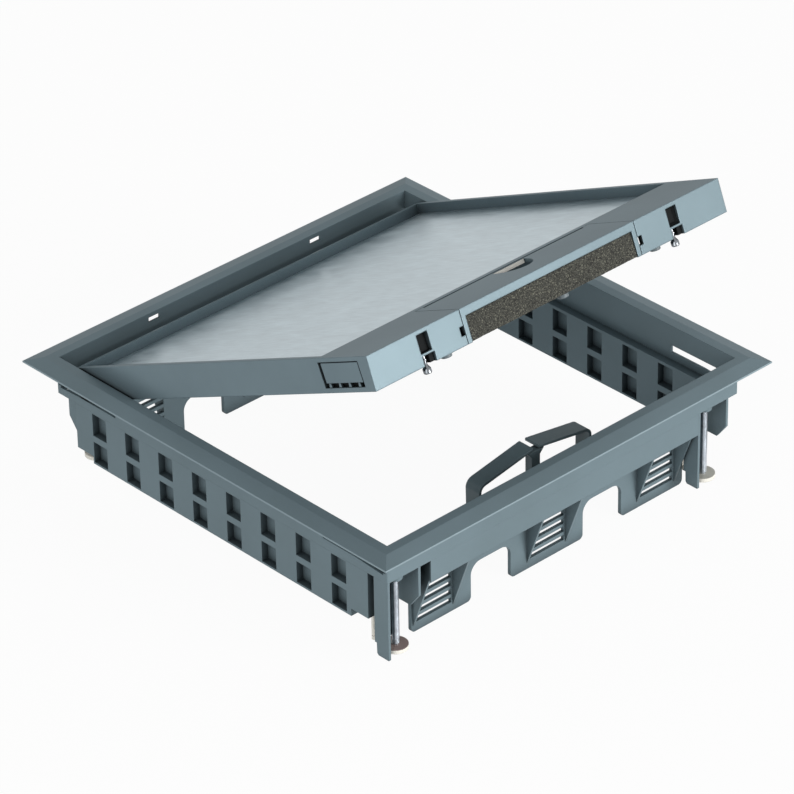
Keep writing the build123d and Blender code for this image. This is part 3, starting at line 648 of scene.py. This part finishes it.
@dataclass
class OutletFrame:
    """Flange, walls, brackets and levelling screws."""

    finishes: Finishes
    thread_pitch: float = 0.7 * MM
    thread_depth: float = 0.28 * MM
    thread_steps: int = 20
    root_share: float = 1.2
    root_width: float = 0.98
    crest_width: float = 0.3
    smooth_below: float = math.radians(35)

    def thread(self, radius: float, turns: int) -> bpy.types.Object:
        """Thread ridge that winds up the z axis from the origin.

        Args:
            radius: Outer radius of the thread.
            turns: Number of turns.

        Returns:
            The new piece.
        """
        deselect_all()
        middle = radius - self.thread_depth / 2
        bpy.ops.mesh.primitive_plane_add(size=self.thread_pitch, location=(middle, 0, 0),
                                         rotation=(math.pi / 2, 0, 0))
        ridge = bpy.context.active_object
        bake_place(ridge)
        for vertex in ridge.data.vertices:
            outside = vertex.co.x > middle
            vertex.co.x = radius if outside else radius - self.root_share * self.thread_depth
            vertex.co.z *= self.crest_width if outside else self.root_width
        screw = ridge.modifiers.new("thread", "SCREW")
        screw.axis = "Z"
        screw.angle = 2 * math.pi
        screw.screw_offset = self.thread_pitch
        screw.iterations = turns
        screw.steps = screw.render_steps = self.thread_steps
        apply_modifiers(ridge)
        return ridge

    def screw(self, corner: str) -> bpy.types.Object:
        """Threaded levelling screw in place of its plain CAD solid.

        Args:
            corner: Corner that the screw stands in.

        Returns:
            The new piece.
        """
        low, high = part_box(f"screw_{corner}")
        x, y, middle = ((a + b) / 2 for a, b in zip(low, high))
        radius = (high[0] - low[0]) / 2
        length = high[2] - low[2]
        deselect_all()
        bpy.ops.mesh.primitive_cylinder_add(vertices=self.thread_steps, radius=radius - self.thread_depth,
                                            depth=length, location=(x, y, middle))
        core = bpy.context.active_object
        bake_place(core)
        ridge = self.thread(radius, int(length / self.thread_pitch))
        ridge.location = (x, y, low[2] + self.thread_pitch / 2)
        bake_place(ridge)
        screw = joined([core, ridge], f"threaded_screw_{corner}")
        screw.data.materials.append(self.finishes.zinc)
        bpy.ops.object.shade_smooth_by_angle(angle=self.smooth_below)
        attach(screw, f"foot_{corner}")
        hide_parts(f"screw_{corner}")
        return screw

    def build(self) -> None:
        """Dresses the frame and makes its screws."""
        walls = ("side_wall_left", "side_wall_right", "front_wall", "back_wall", "arm_pivot_left",
                 "arm_pivot_right")
        dress(walls + tuple(f"bracket_{corner}" for corner in CORNERS), self.finishes.frame_plastic)
        dress(("rim",), self.finishes.flange_plastic)
        dress(tuple(f"foot_pad_{corner}" for corner in CORNERS), self.finishes.pad_plastic)
        # The front left pad's top face carries a deeper painted shade.
        dress(("foot_pad_front_left",), self.finishes.shaded_top_pad)
        dress(("retainer_post", "retainer_arm_left", "retainer_arm_right"), self.finishes.arm_plastic)
        dress(("hinge_shoe_left", "hinge_shoe_right"), self.finishes.black_plastic)
        for corner in CORNERS:
            LOG.info("made %s", self.screw(corner).name)


@dataclass
class RaisedLid:
    """Tray, plate, cord outlet, catches and bumpers.

    Depths are below the top of the shut lid, reaches are back from its front, and heights, widths and
    places across it are from the middle. The stud's steps are depths below its top and radii, in
    millimetres.
    """

    finishes: Finishes
    rim_height: float = 69.5 * MM
    front: float = -117.25 * MM
    half_width: float = 117.55 * MM
    wall: float = 2.5 * MM
    foam_cell: float = 0.7 * MM
    foam_wave: float = 1.5 * MM
    foam_relief: float = 0.35 * MM
    foam_merge: float = 0.01 * MM
    foam_flat_below: float = math.radians(2)
    latch_x: float = 83.2 * MM
    latch_half_width: float = 3.4 * MM
    latch_depths: tuple[float, float] = (2.2 * MM, 11.5 * MM)
    latch_reach: tuple[float, float] = (1.8 * MM, 4.95 * MM)
    latch_dish: float = 1.1 * MM
    facing: float = 0.99
    insert_window: tuple[float, float] = (7.9 * MM, 38.1 * MM)
    insert_window_depths: tuple[float, float] = (2.3 * MM, 15.1 * MM)
    # Reaches of the black plate of painted shade behind an insert, out from the inside of the wall; the tile
    # sits on its outer face.
    insert_shade: tuple[float, float] = (-0.9 * MM, 0.5 * MM)
    tile_reach: tuple[float, float] = (8.5 * MM, 36.2 * MM)
    tile_depths: tuple[float, float] = (2.7 * MM, 12.8 * MM)
    tooth_count: int = 4
    tooth_first: float = 12.1 * MM
    tooth_pitch: float = 7.4 * MM
    tooth_half_width: float = 1.0 * MM
    tooth_tip: float = 0.5
    tooth_setback: float = 0.3 * MM
    block_edge: float = 0.2 * MM
    thin_edge: float = 0.15 * MM
    stud_setback: float = 4.7 * MM
    stud_top_depth: float = 12.7 * MM
    stud_sides: int = 28
    stud_smooth_below: float = math.radians(32)
    stud_steps: tuple[tuple[float, float], ...] = (
        (0.0, 1.1), (2.0, 1.1), (2.3, 1.5), (2.9, 1.5), (3.2, 1.0),
        (5.2, 1.0), (6.2, 1.6), (7.0, 2.1), (9.0, 2.1), (9.5, 1.7),
    )

    def level(self, depth: float) -> float:
        """Height of a plane that lies depth below the top of the shut lid."""
        return self.rim_height - depth

    def foam(self) -> bpy.types.Object:
        """Foam strip: a block with softened edges and an uneven cut face.

        Returns:
            The new piece.
        """
        select_only(frame["nodes"]["foam_strip"])
        bpy.ops.object.duplicate()
        strip = bpy.context.active_object
        strip.name = "foam_seal"
        for key in [key for key in strip.keys() if key.startswith("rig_")]:
            del strip[key]
        bpy.ops.object.mode_set(mode="EDIT")
        bpy.ops.mesh.select_all(action="SELECT")
        bpy.ops.mesh.remove_doubles(threshold=self.foam_merge)
        bpy.ops.mesh.dissolve_limited(angle_limit=self.foam_flat_below)
        bpy.ops.object.mode_set(mode="OBJECT")
        remesh = strip.modifiers.new("cells", "REMESH")
        remesh.mode = "VOXEL"
        remesh.voxel_size = self.foam_cell
        relief = strip.modifiers.new("relief", "DISPLACE")
        clouds = bpy.data.textures.new("foam_relief", "CLOUDS")
        clouds.noise_scale = self.foam_wave
        relief.texture = clouds
        relief.texture_coords = "LOCAL"
        relief.strength = self.foam_relief
        relief.mid_level = 1.0
        apply_modifiers(strip)
        strip.data.materials.clear()
        strip.data.materials.append(self.finishes.foam)
        bpy.ops.object.shade_smooth()
        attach(strip, "outlet")
        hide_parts("foam_strip")
        return strip

    def latch_slide(self, hand: Hand) -> bpy.types.Object:
        """Dark slide with a dished face, seated in the back of a latch window.

        Args:
            hand: Side of the lid.

        Returns:
            The new piece.
        """
        centre = self.latch_x * hand.side
        near, far = (self.front + reach for reach in self.latch_reach)
        top, bottom = (self.level(depth) for depth in self.latch_depths)
        slide = block(f"latch_slide_{hand.value}", (centre - self.latch_half_width, near, bottom),
                      (centre + self.latch_half_width, far, top), self.block_edge)
        for face in slide.data.polygons:
            face.select = face.normal.y < -self.facing
        bpy.ops.object.mode_set(mode="EDIT")
        bpy.ops.mesh.select_mode(type="FACE")
        bpy.ops.mesh.inset(thickness=self.latch_dish)
        bpy.ops.transform.translate(value=(0, self.latch_dish, 0))
        bpy.ops.object.mode_set(mode="OBJECT")
        slide.data.materials.append(self.finishes.black_plastic)
        raise_with_lid(slide)
        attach(slide, "lid")
        return slide

    def insert_shade_plate(self, hand: Hand) -> bpy.types.Object:
        """Black plate behind the window of a side insert: a sheet that puts painted shade in the gaps around
        the tile.

        Args:
            hand: Side of the lid.

        Returns:
            The new piece.
        """
        inside = self.half_width - self.wall
        inner, outer = sorted(hand.side * (inside + reach) for reach in self.insert_shade)
        near, far = (self.front + reach for reach in self.insert_window)
        top, bottom = (self.level(depth) for depth in self.insert_window_depths)
        # Painted shade: a black sheet where the window behind the tile holds only shade.
        plate = block(f"insert_shade_{hand.value}", (inner, near, bottom), (outer, far, top), self.thin_edge)
        plate.data.materials.append(self.finishes.black_plastic)
        raise_with_lid(plate)
        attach(plate, "lid")
        return plate

    def insert_tile(self, hand: Hand) -> bpy.types.Object:
        """Side insert: a tile flush with the lid's side, above a row of small teeth.

        Args:
            hand: Side of the lid.

        Returns:
            The new piece.
        """
        seat = self.half_width - self.wall + self.insert_shade[1]
        top, tile_bottom = (self.level(depth) for depth in self.tile_depths)
        bottom = self.level(self.insert_window_depths[1])
        inner, outer = sorted((hand.side * seat, hand.side * self.half_width))
        near, far = (self.front + reach for reach in self.tile_reach)
        parts = [block("tile", (inner, near, tile_bottom), (outer, far, top), self.block_edge)]
        inner, outer = sorted((hand.side * seat, hand.side * (self.half_width - self.tooth_setback)))
        for i in range(self.tooth_count):
            middle = self.front + self.tooth_first + i * self.tooth_pitch
            tooth = block("tooth", (inner, middle - self.tooth_half_width, bottom),
                          (outer, middle + self.tooth_half_width, tile_bottom + self.tooth_setback),
                          self.thin_edge)
            for vertex in tooth.data.vertices:
                if vertex.co.z > (bottom + tile_bottom) / 2:
                    vertex.co.y = middle + (vertex.co.y - middle) * self.tooth_tip
            parts.append(tooth)
        tile = joined(parts, f"insert_tile_{hand.value}")
        tile.data.materials.append(self.finishes.lid_plastic)
        raise_with_lid(tile)
        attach(tile, "lid")
        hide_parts(f"side_insert_{hand.value}")
        return tile

    def stud(self, hand: Hand) -> bpy.types.Object:
        """Turned catch stud: stem, collar and a head that flares towards its foot.

        Args:
            hand: Side of the lid.

        Returns:
            The new piece.
        """
        place = (self.latch_x * hand.side, self.front + self.stud_setback, self.level(self.stud_top_depth))
        deselect_all()
        bpy.ops.mesh.primitive_circle_add(vertices=self.stud_sides, radius=self.stud_steps[0][1] * MM,
                                          fill_type="NGON", location=place)
        stud = bpy.context.active_object
        stud.name = f"turned_stud_{hand.value}"
        bake_place(stud)
        bpy.ops.object.mode_set(mode="EDIT")
        bpy.ops.mesh.select_all(action="SELECT")
        for (depth_before, radius_before), (depth, radius) in zip(self.stud_steps[:-1], self.stud_steps[1:]):
            bpy.ops.mesh.extrude_region_move(
                TRANSFORM_OT_translate={"value": (0, 0, (depth_before - depth) * MM)})
            share = radius / radius_before
            bpy.ops.transform.resize(value=(share, share, 1))
        bpy.ops.mesh.select_all(action="SELECT")
        bpy.ops.mesh.normals_make_consistent(inside=False)
        bpy.ops.object.mode_set(mode="OBJECT")
        stud.data.materials.append(self.finishes.chrome)
        bpy.ops.object.shade_smooth_by_angle(angle=self.stud_smooth_below)
        raise_with_lid(stud)
        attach(stud, "lid")
        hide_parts(f"catch_stud_{hand.value}")
        return stud

    def build(self) -> None:
        """Dresses the lid and makes its foam strip, latches, inserts and studs."""
        dress(("lid_tray", "deck_ribs", "outlet_flap"), self.finishes.lid_plastic)
        # The grip edge's near-white colour is a painted highlight of the lit rear wall of the finger hole.
        dress(("grip_edge",), self.finishes.grip_highlight_white)
        dress(("lid_plate",), self.finishes.insert_plate)
        dress(("catch_clip_left", "catch_clip_right"), self.finishes.black_plastic)
        dress(("hinge_pin_left", "hinge_pin_right"), self.finishes.zinc)
        dress(("bumper_left", "bumper_middle", "bumper_right"), self.finishes.grey_bumper)
        LOG.info("made %s", self.foam().name)
        for hand in Hand:
            for piece in (self.latch_slide(hand), self.insert_shade_plate(hand), self.insert_tile(hand),
                          self.stud(hand)):
                LOG.info("made %s", piece.name)


@dataclass(frozen=True)
class Lamp:
    """Square area lamp: its direction from the object, distance and size in metres and power in watts."""

    name: str
    towards: Point
    distance: float
    size: float
    power: float
    tint: Point = (1.0, 1.0, 1.0)

    def build(self, target: Vector) -> None:
        """Makes the lamp.

        Args:
            target: Point that the lamp looks at.
        """
        data = bpy.data.lights.new(self.name, "AREA")
        data.color = self.tint
        data.energy = self.power
        data.size = self.size
        lamp = bpy.data.objects.new(self.name, data)
        bpy.context.scene.collection.objects.link(lamp)
        way = Vector(self.towards).normalized()
        lamp.location = target + way * self.distance
        lamp.rotation_mode = "QUATERNION"
        lamp.rotation_quaternion = way.to_track_quat("Z", "Y")


@dataclass
class Studio:
    """Floor, lamps, world and camera."""

    azimuth: float = -42.954
    elevation: float = 32.039
    roll: float = -1.013
    distance: float = 2343.571 * MM
    focal_px: float = 4774.046
    target: Point = (-25.276 * MM, -27.158 * MM, 69.5 * MM)
    floor_side: float = 12.0
    floor_drop: float = 0.1 * MM
    floor_level: float = 0.8
    floor_roughness: float = 0.9
    shadow_share: float = 0.05
    ambient: float = 0.42
    lamps: tuple[Lamp, ...] = (
        Lamp("key", (0.25, -0.93, 0.27), 2.2, 1.2, 34.0),
        Lamp("fill", (-0.9, -0.3, 0.28), 2.4, 1.6, 20.5),
        Lamp("sheen", (0.515, -0.806, 0.137), 2.2, 0.6, 4.4, (1.0, 0.93, 0.87)),
    )

    def camera(self) -> None:
        """Camera at the photograph's place, with its slight roll."""
        azimuth, elevation, roll = (math.radians(a) for a in (self.azimuth, self.elevation, self.roll))
        back = Vector((math.sin(azimuth) * math.cos(elevation), -math.cos(azimuth) * math.cos(elevation),
                       math.sin(elevation)))
        level_right = Vector((math.cos(azimuth), math.sin(azimuth), 0.0))
        level_up = back.cross(level_right)
        right = math.cos(roll) * level_right + math.sin(roll) * level_up
        up = math.cos(roll) * level_up - math.sin(roll) * level_right
        data = bpy.data.cameras.new("camera")
        data.sensor_width = SENSOR_MM
        data.lens = SENSOR_MM * self.focal_px / PHOTO_SIDE_PX
        camera = bpy.data.objects.new("camera", data)
        bpy.context.scene.collection.objects.link(camera)
        turn = Matrix((right, up, back)).transposed().to_4x4()
        camera.matrix_world = Matrix.Translation(Vector(self.target) + back * self.distance) @ turn
        bpy.context.scene.camera = camera

    def seen_directly(self, tree: bpy.types.NodeTree) -> Socket:
        """Mask of the rays that show a background as it is.

        Args:
            tree: Node tree of the floor or the world.

        Returns:
            A value of 1 for camera, glossy and transmission rays.
        """
        path = tree.nodes.new("ShaderNodeLightPath")
        mask = path.outputs["Is Camera Ray"]
        for name in ("Is Glossy Ray", "Is Transmission Ray"):
            either = tree.nodes.new("ShaderNodeMath")
            either.operation = "MAXIMUM"
            tree.links.new(mask, either.inputs[0])
            tree.links.new(path.outputs[name], either.inputs[1])
            mask = either.outputs[0]
        return mask

    def white_for_eyes(self, surface: Surface) -> None:
        """Lifts a surface towards white for camera, glossy and transmission rays, but keeps its shadow.

        Args:
            surface: The material in the making.
        """
        nodes, links = surface.nodes, surface.links
        directly = self.seen_directly(surface.material.node_tree)
        share = surface.maths("MULTIPLY", directly, 1.0 - self.shadow_share)
        glow = nodes.new("ShaderNodeEmission")
        glow.inputs["Color"].default_value = WHITE
        mix = nodes.new("ShaderNodeMixShader")
        links.new(share, mix.inputs["Fac"])
        links.new(surface.shader.outputs["BSDF"], mix.inputs[1])
        links.new(glow.outputs["Emission"], mix.inputs[2])
        links.new(mix.outputs["Shader"], nodes["Material Output"].inputs["Surface"])

    def floor(self) -> None:
        """Plain pale floor just under the object."""
        deselect_all()
        bpy.ops.mesh.primitive_plane_add(size=self.floor_side, location=(0, 0, -self.floor_drop))
        floor = bpy.context.active_object
        floor.name = "floor"
        surface = Surface("floor_white")
        surface.shader.inputs["Base Color"].default_value = (self.floor_level,) * 3 + (1.0,)
        surface.shader.inputs["Roughness"].default_value = self.floor_roughness
        self.white_for_eyes(surface)
        floor.data.materials.append(surface.material)

    def world(self) -> None:
        """Even pale surroundings."""
        world = bpy.data.worlds.new("studio")
        world.use_nodes = True
        bpy.context.scene.world = world
        nodes, links = world.node_tree.nodes, world.node_tree.links
        soft = nodes["Background"]
        soft.inputs["Color"].default_value = WHITE
        soft.inputs["Strength"].default_value = self.ambient
        white = nodes.new("ShaderNodeBackground")
        white.inputs["Color"].default_value = WHITE
        white.inputs["Strength"].default_value = 1.0
        mix = nodes.new("ShaderNodeMixShader")
        links.new(self.seen_directly(world.node_tree), mix.inputs["Fac"])
        links.new(soft.outputs["Background"], mix.inputs[1])
        links.new(white.outputs["Background"], mix.inputs[2])
        links.new(mix.outputs["Shader"], nodes["World Output"].inputs["Surface"])

    def build(self) -> None:
        """Sets up the studio."""
        bpy.context.scene.view_settings.view_transform = "Standard"
        self.camera()
        for lamp in self.lamps:
            lamp.build(Vector(self.target))
        self.floor()
        self.world()


def main() -> None:
    """Builds the scene piece by piece."""
    logging.basicConfig(level=logging.INFO, format="%(name)s: %(message)s")
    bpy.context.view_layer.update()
    finishes = Finishes()
    OutletFrame(finishes).build()
    RaisedLid(finishes).build()
    Studio().build()


if __name__ == "__main__":
    main()
